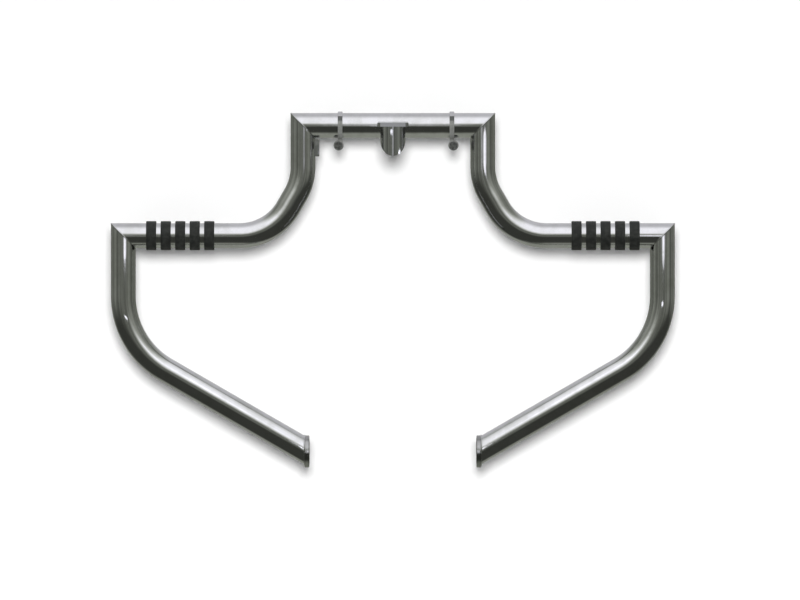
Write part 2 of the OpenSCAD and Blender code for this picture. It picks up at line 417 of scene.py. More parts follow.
class Shading:
    """Adds nodes to a tree and links them.

    A value is a number, a colour, a socket, or a node whose first output is meant.
    """

    def __init__(self, tree: bpy.types.NodeTree) -> None:
        """Clears the tree."""
        self.tree = tree
        tree.nodes.clear()

    def feed(self, socket: bpy.types.NodeSocket, value: object) -> None:
        """Links a socket to a value, or sets it.

        Args:
            socket: The input.
            value: The value; a colour has full alpha.
        """
        if isinstance(value, bpy.types.Node):
            value = value.outputs[0]
        if isinstance(value, bpy.types.NodeSocket):
            self.tree.links.new(value, socket)
        else:
            socket.default_value = (*value, 1.0) if socket.type == "RGBA" else value

    def add(
        self, kind: str, given: Mapping[str | int, object] | None = None, **settings: object
    ) -> bpy.types.Node:
        """Adds a node.

        Args:
            kind: The node's type.
            given: Values for its inputs, by name or index.
            settings: Attributes that are set on it.

        Returns:
            The node.
        """
        node = self.tree.nodes.new(kind)
        for name, value in settings.items():
            setattr(node, name, value)
        for key, value in (given or {}).items():
            self.feed(node.inputs[key], value)
        return node

    def math(self, operation: str, a: object, b: object = 0.0) -> bpy.types.NodeSocket:
        """Returns the result of a Math node on two values."""
        return self.add("ShaderNodeMath", {0: a, 1: b}, operation=operation).outputs[0]

    def blend(self, a: object, b: object, share: object) -> bpy.types.NodeSocket:
        """Mixes two numbers.

        Args:
            a: The first number.
            b: The second number.
            share: The second one's share.

        Returns:
            The mix.
        """
        rest = 1 - share if isinstance(share, float) else self.math("SUBTRACT", 1.0, share)
        return self.math("ADD", self.math("MULTIPLY", b, share), self.math("MULTIPLY", a, rest))

    def ramp(
        self, value: object, low: float, high: float, start: float = 0.0, end: float = 1.0
    ) -> bpy.types.NodeSocket:
        """Makes a smooth step.

        Args:
            value: The value that is followed.
            low: Where the step begins.
            high: Where it ends.
            start: The result up to its beginning.
            end: The result from its end on.

        Returns:
            The result.
        """
        given = dict(enumerate((value, low, high, start, end)))
        return self.add("ShaderNodeMapRange", given, interpolation_type="SMOOTHSTEP").outputs[0]

    def mix(self, share: object, a: object, b: object) -> bpy.types.NodeSocket:
        """Returns a mix of two colours, by the second one's share."""
        return self.add("ShaderNodeMix", {0: share, 6: a, 7: b}, data_type="RGBA").outputs[2]

    def noise(
        self, vector: object, scale: float, detail: float, rough: float = 0.5
    ) -> bpy.types.NodeSocket:
        """Makes a cloudy noise.

        Args:
            vector: Where it is read.
            scale: Clouds in a unit of length.
            detail: How many finer layers it has.
            rough: How strong the finer layers are.

        Returns:
            A value between 0 and 1.
        """
        given = {"Vector": vector, "Scale": scale, "Detail": detail, "Roughness": rough}
        return self.add("ShaderNodeTexNoise", given).outputs[0]

    def bump(
        self, height: object, strength: float, depth: float, below: object = None
    ) -> bpy.types.NodeSocket:
        """Turns a height into a normal.

        Args:
            height: The height, from 0 to 1.
            strength: Strength of the effect.
            depth: What a height of 1 stands for, in millimetres.
            below: The normal of a coarser bump that it lies on.

        Returns:
            The normal.
        """
        given = {"Height": height, "Strength": strength, "Distance": depth * MM}
        if below is not None:
            given["Normal"] = below
        return self.add("ShaderNodeBump", given).outputs[0]


class Skin(Shading):
    """The tree of a new material."""

    def __init__(self, name: str) -> None:
        """Makes the material.

        Args:
            name: Its name.
        """
        self.material = bpy.data.materials.new(name)
        self.material.use_nodes = True
        super().__init__(self.material.node_tree)

    @cached_property
    def here(self) -> bpy.types.NodeSocket:
        """The object coordinates."""
        return self.add("ShaderNodeTexCoord").outputs["Object"]

    def grain(self, size: float, detail: float, rough: float = 0.5) -> bpy.types.NodeSocket:
        """Returns a noise on the piece, by the size of its clouds in millimetres."""
        return self.noise(self.here, 1 / (size * MM), detail, rough)

    def shown(self, shader: bpy.types.Node) -> bpy.types.Material:
        """Ends the tree with a shader and returns the material."""
        self.add("ShaderNodeOutputMaterial", {"Surface": shader})
        return self.material

    def painted(self, given: Mapping[str, object]) -> bpy.types.Material:
        """Ends the tree with a Principled shader and returns the material."""
        return self.shown(self.add("ShaderNodeBsdfPrincipled", given))


class Growth(Shading):
    """A Geometry Nodes tree that makes one kind of piece, with named inputs for its sizes."""

    def __init__(self, name: str, sizes: Sequence[str], line: bool = False) -> None:
        """Makes the tree and its inputs.

        Args:
            name: The tree's name.
            sizes: Names of the inputs that are numbers.
            line: Whether the piece follows a line, which is then the first input.
        """
        super().__init__(bpy.data.node_groups.new(name, "GeometryNodeTree"))
        kinds = [("Line", "Geometry")] if line else []
        kinds += [(size, "Float") for size in sizes] + [("Finish", "Material")]
        face = self.tree.interface
        for word, kind in kinds:
            face.new_socket(word, in_out="INPUT", socket_type=f"NodeSocket{kind}")
        face.new_socket("Piece", in_out="OUTPUT", socket_type="NodeSocketGeometry")
        self.given = self.add("NodeGroupInput").outputs

    def end(self, geometry: bpy.types.Node) -> None:
        """Ends the tree: the piece is smoothed, realized and given its finish.

        Args:
            geometry: The node that makes the piece.
        """
        smooth = self.add("GeometryNodeSetShadeSmooth", {"Geometry": geometry})
        real = self.add("GeometryNodeRealizeInstances", {"Geometry": smooth})
        given = {"Geometry": real, "Material": self.given["Finish"]}
        self.add("NodeGroupOutput", {"Piece": self.add("GeometryNodeSetMaterial", given)})

    def grow(
        self, name: str, mesh: bpy.types.Mesh, given: Mapping[str, object]
    ) -> bpy.types.Object:
        """Makes a piece.

        Args:
            name: The piece's name.
            mesh: The mesh that the tree starts from.
            given: A value for each named input.

        Returns:
            The piece, with a plain mesh.
        """
        obj = linked(name, mesh)
        modifier = obj.modifiers.new("growth", "NODES")
        modifier.node_group = self.tree
        for socket in self.tree.interface.items_tree:
            if socket.name in given:
                modifier[socket.identifier] = given[socket.name]
        return plain(obj)


# Finishes. A pair of shares is the range of a noise over which a mark goes from none to full.

CLOUDED = (0.35, 0.7)
GRAINED = (0.2, 0.8)
HAZED = (0.1, 0.9)


@dataclass(frozen=True)
class Chrome:
    """Bright chrome plating over polished steel, with a faint veil and a slow wave."""

    name: str
    tone: Point = (0.74, 0.745, 0.76)
    shade: Point = (0.66, 0.668, 0.665)
    gloss: Flat = (0.09, 0.17)
    wave: float = 16.0
    wave_depth: float = 0.09
    veil: float = 22.0
    veil_share: float = 0.6
    grain: float = 0.8
    grain_depth: float = 0.004

    def build(self) -> bpy.types.Material:
        """Makes the finish.

        Returns:
            The material.
        """
        n = Skin(self.name)
        veil = n.ramp(n.grain(self.veil, detail=4.0, rough=0.6), *CLOUDED)
        fine = n.grain(self.grain, detail=2.0)
        haze = n.blend(fine, veil, self.veil_share)
        wave = n.bump(n.grain(self.wave, detail=2.0, rough=0.45), 1.0, self.wave_depth)
        return n.painted({
            "Metallic": 1.0,
            "Base Color": n.mix(veil, self.tone, self.shade),
            "Roughness": n.ramp(haze, *HAZED, *self.gloss),
            "Normal": n.bump(fine, 0.15, self.grain_depth, wave),
        })


@dataclass(frozen=True)
class Plated:
    """Satin plating on small hardware.

    With heights given for the top, the piece turns from satin to darker over the heights of dark,
    and from there to a painted highlight over the top heights: lighter, glossier and fully
    metallic.
    """

    name: str = "plated_fastener"
    tone: Point = (0.24, 0.245, 0.24)
    shade: Point = (0.10, 0.105, 0.10)
    gloss: Flat = (0.24, 0.38)
    metal: float = 0.9
    # Painted highlight at the top: its heights, tone and gloss factor; dark and dark_tone give a
    # darker band just below it.
    bright: Flat | None = None
    dark: Flat = (4.0, 7.0)
    bright_tone: Point = (0.70, 0.70, 0.71)
    bright_gloss: float = 0.45
    dark_tone: Point = (0.10, 0.105, 0.10)
    cloud: float = 2.5
    grain: float = 0.25
    grain_depth: float = 0.02

    def build(self) -> bpy.types.Material:
        """Makes the finish.

        Returns:
            The material.
        """
        n = Skin(self.name)
        cloud = n.ramp(n.grain(self.cloud, detail=3.0, rough=0.6), *CLOUDED)
        fine = n.grain(self.grain, detail=2.0)
        tone, metal = n.mix(cloud, self.tone, self.shade), self.metal
        rough = n.ramp(fine, *GRAINED, *self.gloss)
        # Painted highlight: above the top heights the piece is made lighter, glossier and fully
        # metallic to match the tube's bright reflection; just below them it turns darker.
        if self.bright is not None:
            height = n.add("ShaderNodeSeparateXYZ", {0: n.here}).outputs[2]
            dark, top = (n.ramp(height, a * MM, b * MM) for a, b in (self.dark, self.bright))
            tone = n.mix(top, n.mix(dark, tone, self.dark_tone), self.bright_tone)
            rough = n.math("MULTIPLY", rough, n.ramp(top, 0.0, 1.0, 1.0, self.bright_gloss))
            metal = n.ramp(top, 0.0, 1.0, metal, 1.0)
        return n.painted({
            "Metallic": metal,
            "Base Color": tone,
            "Roughness": rough,
            "Normal": n.bump(fine, 0.3, self.grain_depth),
        })


@dataclass(frozen=True)
class Rubber:
    """Black moulded rubber, dusted grey where it wears."""

    name: str = "ring_rubber"
    tone: Point = (0.011, 0.012, 0.011)
    dust: Point = (0.032, 0.034, 0.031)
    worn: Flat = (0.38, 0.72)
    gloss: Flat = (0.42, 0.62)
    shine: float = 0.3
    cloud: float = 6.0
    cloud_share: float = 0.7
    cloud_depth: float = 0.2
    grain: float = 0.45
    grain_depth: float = 0.06

    def build(self) -> bpy.types.Material:
        """Makes the finish.

        Returns:
            The material.
        """
        n = Skin(self.name)
        cloud = n.grain(self.cloud, detail=5.0, rough=0.65)
        grain = n.grain(self.grain, detail=3.0, rough=0.6)
        worn = n.ramp(n.blend(grain, cloud, self.cloud_share), *self.worn)
        moulded = n.bump(cloud, 0.5, self.cloud_depth)
        return n.painted({
            "Base Color": n.mix(worn, self.tone, self.dust),
            "Roughness": n.ramp(grain, *GRAINED, *self.gloss),
            "Specular IOR Level": self.shine,
            "Normal": n.bump(grain, 0.6, self.grain_depth, moulded),
        })


# The bar


@dataclass(frozen=True)
class Plan:
    """The sizes that the sub-assemblies share, in millimetres and degrees."""

    tube_r: float = 15.875
    wall: float = 3.0
    upright_x: float = 115.0
    outer_x: float = 345.0
    foot_z: float = -141.0
    shoulder_r: float = 72.0
    first_turn: float = 30.0
    slant_run: float = 19.0
    outer_run: float = 77.0
    knee_r: float = 110.0
    knee_turn: float = 60.0
    plate_gap: float = 214.0
    plate_t: float = 6.0

    @property
    def upright_run(self) -> float:
        """Straight length of an inner upright."""
        return -self.foot_z - self.shoulder_r - self.slant_run * cos(radians(self.first_turn))

    @property
    def rest_run(self) -> float:
        """Straight length of a foot rest."""
        lean = self.slant_run * sin(radians(self.first_turn))
        return self.outer_x - self.upright_x - self.shoulder_r - lean

    @property
    def knee_x(self) -> float:
        """Place of the knee's end across the bar."""
        return self.outer_x - self.knee_r * (1 - cos(radians(self.knee_turn)))

    @property
    def knee_z(self) -> float:
        """Height of the knee's end."""
        return self.foot_z - self.outer_run - self.knee_r * sin(radians(self.knee_turn))

    @property
    def plate_face_x(self) -> float:
        """Place of an end plate's outer face."""
        return self.plate_gap / 2 + self.plate_t

    @property
    def brace_run(self) -> float:
        """Straight length of a brace, to its plate's outer face."""
        return (self.knee_x - self.plate_face_x) / sin(radians(self.knee_turn))

    @property
    def plate_z(self) -> float:
        """Height of an end plate's middle."""
        across = self.knee_x - self.plate_face_x + self.plate_t / 2
        return self.knee_z - across / tan(radians(self.knee_turn))


PLAN = Plan()


@dataclass
class Line:
    """A centreline in the XZ plane: straights and bends from a start point, first down."""

    x: float
    z: float
    turned: float = 0.0
    stations: list[Station] = field(default_factory=list)

    def __post_init__(self) -> None:
        """Notes the start."""
        self.note()

    def note(self) -> None:
        """Notes a station, as its place (x, z) and how far the line has turned there."""
        self.stations.append((self.x, self.z, self.turned))

    def straight(self, run: float) -> "Line":
        """Goes straight on.

        Args:
            run: How far.

        Returns:
            The line.
        """
        self.x += sin(self.turned) * run
        self.z -= cos(self.turned) * run
        self.note()
        return self

    def bend(self, r: float, turn_deg: float) -> "Line":
        """Goes round a bend.

        Args:
            r: Radius of the bend.
            turn_deg: How far it turns; towards +X if positive.

        Returns:
            The line.
        """
        arm = r if turn_deg > 0 else -r
        steps = max(1, round(abs(turn_deg) / BEND_STEP_DEG))
        cx, cz = self.x + arm * cos(self.turned), self.z + arm * sin(self.turned)
        start = self.turned
        for i in range(1, steps + 1):
            self.turned = start + radians(turn_deg) * i / steps
            self.x, self.z = cx - arm * cos(self.turned), cz - arm * sin(self.turned)
            self.note()
        return self


def swept(line: Line, r: float, start: Plane, end: Plane) -> list[list[Point]]:
    """Returns the rows of a round section along a line, cut by a plane at each end.

    Args:
        line: The centreline.
        r: Radius of the section.
        start: The first row's plane, as a point (x, z) and a normal (x, z).
        end: The last row's plane.

    Returns:
        The rows.
    """
    rows = []
    last = len(line.stations) - 1
    for i, (x, z, turned) in enumerate(line.stations):
        across, along = (cos(turned), sin(turned)), (sin(turned), -cos(turned))
        row = []
        for c, s in circle():
            px, pz = x + r * c * across[0], z + r * c * across[1]
            if i in (0, last):
                qx, qz, nx, nz = start if i == 0 else end
                shift = ((qx - px) * nx + (qz - pz) * nz) / (along[0] * nx + along[1] * nz)
                px, pz = px + along[0] * shift, pz + along[1] * shift
            row.append((px, r * s, pz))
        rows.append(row)
    return rows


@dataclass(frozen=True)
class Ripple:
    """A weld bead's radius, the distance between its ripples, and the share that they add."""

    radius: float
    pitch: float
    share: float


@dataclass
class Bead:
    """A weld bead, rippled by a Geometry Nodes tree, that follows a line."""

    finish: bpy.types.Material
    growth: Growth = field(init=False)
    round_steps: int = 14
    pitch_steps: int = 8
    fullness: float = 0.6

    def __post_init__(self) -> None:
        """Builds the tree: a round section along the line, thicker at each ripple."""
        sizes = ("Radius", "Pitch", "Ripple", "Step")
        n = self.growth = Growth("weld_bead", sizes, line=True)
        given = n.given
        curve = n.add("GeometryNodeMeshToCurve", {"Mesh": given["Line"]})
        spaced = {"Curve": curve, "Length": given["Step"]}
        even = n.add("GeometryNodeResampleCurve", spaced, mode="LENGTH")
        path = n.add("GeometryNodeSetCurveRadius", {"Curve": even, "Radius": 1.0})
        ring = {"Resolution": self.round_steps, "Radius": 1.0}
        section = n.add("GeometryNodeCurvePrimitiveCircle", ring)
        along = n.add("GeometryNodeSplineParameter").outputs["Length"]
        turns = n.math("MULTIPLY", n.math("DIVIDE", along, given["Pitch"]), pi)
        crest = n.math("POWER", n.math("ABSOLUTE", n.math("SINE", turns)), self.fullness)
        share = n.math("MULTIPLY", n.math("SUBTRACT", crest, 0.5), given["Ripple"])
        size = n.math("MULTIPLY", n.math("ADD", share, 1.0), given["Radius"])
        swept_up = {"Curve": path, "Profile Curve": section, "Scale": size, "Fill Caps": True}
        n.end(n.add("GeometryNodeCurveToMesh", swept_up))

    def along(
        self, name: str, path: Sequence[Point], side: Side, size: Ripple, slot: Slot,
        closed: bool = True,
    ) -> bpy.types.Object:
        """Lays a bead along a right-hand line, for that side.

        Args:
            name: The piece's name.
            path: The line's points, in millimetres.
            side: The side that the bead is on.
            size: The bead's sizes.
            slot: Not used.
            closed: The line closes on itself.

        Returns:
            The piece.
        """
        count = len(path)
        edges = [(k, (k + 1) % count) for k in range(count if closed else count - 1)]
        mesh = meshed(name, [(side.value * x, y, z) for x, y, z in path], edges=edges)
        obj = self.growth.grow(name, mesh, {
            "Radius": size.radius * MM, "Pitch": size.pitch * MM, "Ripple": size.share,
            "Step": size.pitch * MM / self.pitch_steps, "Finish": self.finish,
        })
        return dressed(obj, self.finish)


@dataclass
class Tubework:
    """The five bent and mitred tubes and the beads that weld them."""

    chrome: bpy.types.Material
    seam: bpy.types.Material
    plan: Plan = PLAN
    mitre_bead: Ripple = Ripple(1.1, 1.5, 0.05)
    mitre_sunk: float = 0.75
    mitre_steps: int = 160
    plate_bead: Ripple = Ripple(1.1, 2.4, 0.12)
    plate_sunk: float = -0.2
    plate_steps: int = 180

    def tube(self, line: Line, start: Plane, end: Plane) -> Shell:
        """Makes a hollow tube, with flat rims at its cut ends.

        Args:
            line: Its centreline.
            start: The plane that cuts its first end.
            end: The plane that cuts its last end.

        Returns:
            The tube.
        """
        shell, r = Shell(), self.plan.tube_r
        outer = shell.stack(swept(line, r, start, end))
        inner = shell.stack(swept(line, r - self.plan.wall, start, end), flip=True)
        shell.bridge(inner[0], outer[0])
        shell.bridge(outer[-1], inner[-1])
        return shell

    def upper_line(self) -> Line:
        """Draws the right upper leg.

        Returns:
            Its centreline.
        """
        p = self.plan
        line = Line(p.upright_x, 0.0).straight(p.upright_run)
        line.bend(p.shoulder_r, p.first_turn).straight(p.slant_run)
        return line.bend(p.shoulder_r, 90 - p.first_turn).straight(p.rest_run)

    def lower_line(self) -> Line:
        """Draws the right lower leg.

        Returns:
            Its centreline.
        """
        p = self.plan
        line = Line(p.outer_x, p.foot_z).straight(p.outer_run)
        return line.bend(p.knee_r, -p.knee_turn).straight(p.brace_run)

    def mitre_path(self, x: float, z: float) -> list[Point]:
        """Returns the closed line that a mitre's seam follows, just under the surface."""
        r = self.plan.tube_r - self.mitre_sunk
        return [(x + r * c, r * s, z + r * c) for c, s in circle(self.mitre_steps)]

    def plate_path(self) -> list[Point]:
        """Draws where a brace meets its plate's outer face.

        Returns:
            The closed line.
        """
        p = self.plan
        lean = radians(p.knee_turn)
        mid_z = p.knee_z - (p.knee_x - p.plate_face_x) / tan(lean)
        r, ring = p.tube_r - self.plate_sunk, circle(self.plate_steps)
        return [(p.plate_face_x, r * s, mid_z + r * c / sin(lean)) for c, s in ring]

    def build(self) -> None:
        """Makes the crossbar, the legs and their welds."""
        p = self.plan
        bar = Line(-p.upright_x, 0.0, pi / 2).straight(2 * p.upright_x)
        top: Plane = (p.upright_x, 0.0, 1.0, -1.0)
        foot: Plane = (p.outer_x, p.foot_z, 1.0, -1.0)
        shell = self.tube(bar, (-p.upright_x, 0.0, 1.0, 1.0), top)
        dressed(shell.made("crossbar_tube"), self.chrome, ["crossbar"])
        legs = {
            "upper": self.tube(self.upper_line(), top, foot),
            "lower": self.tube(self.lower_line(), foot, (p.plate_face_x, 0.0, 1.0, 0.0)),
        }
        bead = Bead(self.seam)
        for side in Side:
            for word, leg in legs.items():
                obj = leg.on(side).made(f"{side.word}_{word}_tube")
                dressed(obj, self.chrome, [f"{side.word}_{word}_leg"])
            for word, (x, z, *_) in (("top", top), ("foot", foot)):
                name, path = f"{side.word}_{word}_seam", self.mitre_path(x, z)
                bead.along(name, path, side, self.mitre_bead, Slot.TUBE)
            name = f"{side.word}_plate_weld"
            bead.along(name, self.plate_path(), side, self.plate_bead, Slot.PLATE)


@dataclass
class EndPlates:
    """The two flat plates that bolt to the motorcycle."""

    finish: bpy.types.Material
    plan: Plan = PLAN
    head_r: float = 20.5
    tab_r: float = 15.0
    bolt_back: float = 40.0
    hole_r: float = 5.5
    edge: float = 0.9
    chamfer: float = 0.5
    count: int = 240
    sharp_deg: float = 40.0

    def outline(self, inset: float) -> list[Flat]:
        """Returns the outline: a round head and a smaller round tab, joined by tangents.

        Args:
            inset: How far it is set in.

        Returns:
            The points (back, up), as seen from the bolt hole.
        """
        head, tab = self.head_r - inset, self.tab_r - inset
        lean = acos((self.head_r - self.tab_r) / self.bolt_back)
        points = []
        for c, s in circle(self.count):
            reach = []
            for cx, r in ((0.0, tab), (-self.bolt_back, head)):
                under = r * r - (cx * s) ** 2
                if under > 0:
                    reach.append(cx * c + sqrt(under))
            dist = cos(lean) * c + sin(lean) * abs(s)
            foot = tab / dist if dist > 0 else 0.0
            slide = -foot * c * sin(lean) + foot * abs(s) * cos(lean)
            if 0 <= slide <= self.bolt_back * sin(lean):
                reach.append(foot)
            far = max(reach)
            points.append((far * c, far * s))
        return points

    def laid(self, outline: Iterable[Flat], depth: float) -> list[Point]:
        """Returns the points of an outline at a depth behind the right plate's inner face."""
        x, y, z = self.plan.plate_gap / 2 + depth, self.bolt_back, self.plan.plate_z
        return [(x, y + back, z + up) for back, up in outline]

    def shell(self) -> Shell:
        """Makes the right plate, with rounded edges and a chamfered hole.

        Returns:
            The plate.
        """
        shell = Shell()
        r, c, thick = self.hole_r, self.chamfer, self.plan.plate_t
        edges = eased(thick, self.edge)
        outer = shell.stack(self.laid(self.outline(inset), depth) for inset, depth in edges)
        steps = ((r + c, 0.0), (r, c), (r, thick - c), (r + c, thick))
        ring = circle(self.count)
        bore = (self.laid([(far * u, far * v) for u, v in ring], depth) for far, depth in steps)
        inner = shell.stack(bore, flip=True)
        shell.bridge(inner[0], outer[0])
        shell.bridge(outer[-1], inner[-1])
        return shell

    def build(self) -> None:
        """Makes both plates."""
        right = self.shell()
        for side in Side:
            obj = right.on(side).made(f"{side.word}_mount_plate", self.sharp_deg)
            dressed(obj, self.finish, [f"{side.word}_end_plate"])


@dataclass
class Bracket:
    """The centre bracket: a half-round tongue under a flange, welded to the crossbar."""

    finish: bpy.types.Material
    seam: bpy.types.Material
    plan: Plan = PLAN
    width: float = 32.0
    wall: float = 3.0
    depth: float = 15.0
    drop: float = 39.5
    cut_deg: float = 52.5
    lip: float = 4.0
    nose: float = 1.0
    flange_t: float = 5.0
    flange_top: float = 3.0
    corner_r: float = 4.0
    corner_steps: int = 10
    front_steps: int = 64
    root_y: float = -2.0
    hollow_y: float = -1.0
    overlap: float = 1.0
    spare: float = 5.0
    reach: float = 60.0
    bar_steps: int = 192
    edge: float = 0.7
    edge_steps: int = 3
    edge_deg: float = 38.0
    sharp_deg: float = 40.0
    bead: Ripple = Ripple(1.2, 1.9, 0.14)
    bead_off: float = 0.6
    bead_out: float = 0.2
    bead_inset: float = 1.0
    bead_steps: int = 40

    @property
    def half(self) -> float:
        """Radius of the tongue's half-round front."""
        return self.width / 2

    @property
    def centre_y(self) -> float:
        """Place of the half round's centre."""
        return -self.plan.tube_r - self.depth + self.half

    @property
    def flange_low(self) -> float:
        """Height of the flange's underside."""
        return self.flange_top - self.flange_t

    def u_plan(self, inset: float, back: float) -> list[Flat]:
        """Returns the tongue's plan from one back end round the front to the other.

        Args:
            inset: How far it is set in from the outside.
            back: Where its back ends are.

        Returns:
            The points (x, y).
        """
        r, steps = self.half - inset, self.front_steps
        angles = [pi + pi * i / steps for i in range(steps + 1)]
        front = [(r * cos(a), self.centre_y + r * sin(a)) for a in angles]
        return [(-r, back), *front, (r, back)]

    def flange_plan(self) -> list[Flat]:
        """Draws the flange, with rounded front corners.

        Returns:
            Its plan (x, y).
        """
        half, r = self.half + self.lip, self.corner_r
        front = -self.plan.tube_r - self.depth - self.nose
        left = arc((-half + r, front + r), r, 180, 270, self.corner_steps)
        right = arc((half - r, front + r), r, 270, 360, self.corner_steps)
        return [(-half, self.root_y), *left, *right, (half, self.root_y)]

    def prism(self, plan: Sequence[Flat], low: float, high: float) -> Shell:
        """Returns a plan that is raised from one height to another."""
        shell = Shell()
        return shell.capped(shell.stack([(x, y, z) for x, y in plan] for z in (low, high)))

    def build(self) -> None:
        """Makes the bracket and the weld round its root."""
        low, high, far = -self.drop - self.spare, self.flange_low, self.reach
        tongue = self.prism(self.u_plan(0, self.root_y), low, high + self.overlap)
        obj = tongue.made("bracket_casting")
        cut(obj, self.prism(self.u_plan(self.wall, self.hollow_y), low - self.spare, high))
        tip = Vector((0, self.centre_y - self.half, -self.drop))
        turn = Matrix.Rotation(radians(self.cut_deg), 3, "X")
        block = self.prism([(-far, -far), (far, -far), (far, far), (-far, far)], -2 * far, 0)
        cut(obj, block.placed(lambda p: tuple(tip + turn @ Vector(p))))
        cut(obj, self.prism(self.flange_plan(), high, self.flange_top), Join.UNION)
        bar = rod(self.plan.tube_r, -far, far, self.bar_steps)
        cut(obj, bar.placed(lambda p: (p[2], p[0], p[1])))
        modified(
            obj, "BEVEL", width=self.edge * MM, segments=self.edge_steps, limit_method="ANGLE",
            angle_limit=radians(self.edge_deg), use_clamp_overlap=True,
        )
        smoothed(obj, self.sharp_deg)
        dressed(obj, self.finish, ["centre_bracket"])
        self.weld()

    def weld(self) -> None:
        """Lays the beads over and under the flange's root."""
        bead, r, steps = Bead(self.seam), self.plan.tube_r, self.bead_steps
        for word, z, span in (
            ("top", self.flange_top + self.bead_off, self.half + self.lip - self.bead_inset),
            ("low", self.flange_low - self.bead_off, self.half - self.wall - self.bead_inset),
        ):
            y = -sqrt(r * r - z * z) - self.bead_out
            path = [(-span + 2 * span * i / steps, y, z) for i in range(steps + 1)]
            name = f"bracket_{word}_weld"
            bead.along(name, path, Side.RIGHT, self.bead, Slot.BRACKET, closed=False)


@dataclass
class Tab:
    """The small tab that is welded under the crossbar to the left inner upright."""

    finish: bpy.types.Material
    plan: Plan = PLAN
    out: float = 5.0
    height: float = 23.0
    thick: float = 6.0
    gap: float = 0.8
    sunk: float = 2.5
    corner_r: float = 1.2
    edge: float = 0.7
    sharp_deg: float = 40.0

    def outline(self, inset: float) -> list[Flat]:
        """Returns the outline, from the tab's root to its free side and back.

        Args:
            inset: How far it is set in.

        Returns:
            The points (across, up), for a tab at the right inner upright.
        """
        r, roof = self.corner_r, -self.plan.tube_r - self.gap
        root = self.plan.upright_x - self.plan.tube_r
        left, top, low = root - self.out + inset, roof - inset, roof - self.height + inset
        upper = arc((left + r, top - r), r, 90, 180)
        lower = arc((left + r, low + r), r, 180, 270)
        return [(root + self.sunk, top), *upper, *lower, (root + self.sunk, low)]

    def build(self) -> None:
        """Makes the tab."""
        shell = Shell()
        half = self.thick / 2
        shell.capped(shell.stack(
            [(x, depth - half, z) for x, z in self.outline(inset)]
            for inset, depth in eased(self.thick, self.edge)
        ))
        obj = shell.on(Side.LEFT).made("left_upright_tab", self.sharp_deg)
        dressed(obj, self.finish, ["left_tab"])


@dataclass
class FootRings:
    """The rubber rings on both foot rests, each made by one Geometry Nodes tree."""

    finish: bpy.types.Material
    plan: Plan = PLAN
    count: int = 5
    outermost: float = 309.227
    pitch: float = 18.567
    width: float = 12.997
    thick: float = 2.7
    play: float = 0.05
    edge_r: float = 1.1
    round_steps: int = 144
    edge_steps: int = 6

    def tree(self) -> Growth:
        """Builds the tree: a rounded band swept round the tube, moved to its place.

        Returns:
            The tree.
        """
        n = Growth("rubber_ring", ("Bore", "Thickness", "Width", "Edge", "Place", "Height"))
        given = n.given
        middle = n.math("ADD", given["Bore"], n.math("MULTIPLY", given["Thickness"], 0.5))
        ring = {"Resolution": self.round_steps, "Radius": middle}
        path = n.add("GeometryNodeCurvePrimitiveCircle", ring)
        sides = {"Width": given["Thickness"], "Height": given["Width"]}
        band = n.add("GeometryNodeCurvePrimitiveQuadrilateral", sides)
        soft = {"Curve": band, "Count": self.edge_steps, "Radius": given["Edge"]}
        section = n.add("GeometryNodeFilletCurve", soft, mode="POLY")
        sweep = n.add("GeometryNodeCurveToMesh", {"Curve": path, "Profile Curve": section})
        spot = n.add("ShaderNodeCombineXYZ", {"X": given["Place"], "Z": given["Height"]})
        put = {"Geometry": sweep, "Translation": spot, "Rotation": (0.0, pi / 2, 0.0)}
        n.end(n.add("GeometryNodeTransform", put))
        return n

    def build(self) -> None:
        """Makes the rings, counted from the inside."""
        tree = self.tree()
        sizes = {
            "Bore": self.plan.tube_r + self.play, "Thickness": self.thick, "Width": self.width,
            "Edge": self.edge_r, "Height": self.plan.foot_z,
        }
        for side in Side:
            for index in range(1, self.count + 1):
                place = self.outermost - (self.count - index) * self.pitch
                given = sizes | {"Place": side.value * place}
                given = {word: value * MM for word, value in given.items()}
                name = f"{side.word}_rubber_ring_{index}"
                mesh = bpy.data.meshes.new(name)
                obj = tree.grow(name, mesh, given | {"Finish": self.finish})
                dressed(obj, self.finish, [f"{side.word}_ring_{index}"])


@dataclass(frozen=True)
class Spot:
    """A point of the strap's path: its place (y, z), the way out, and whether it is on an ear."""

    y: float
    z: float
    out_y: float
    out_z: float
    ear: bool = False


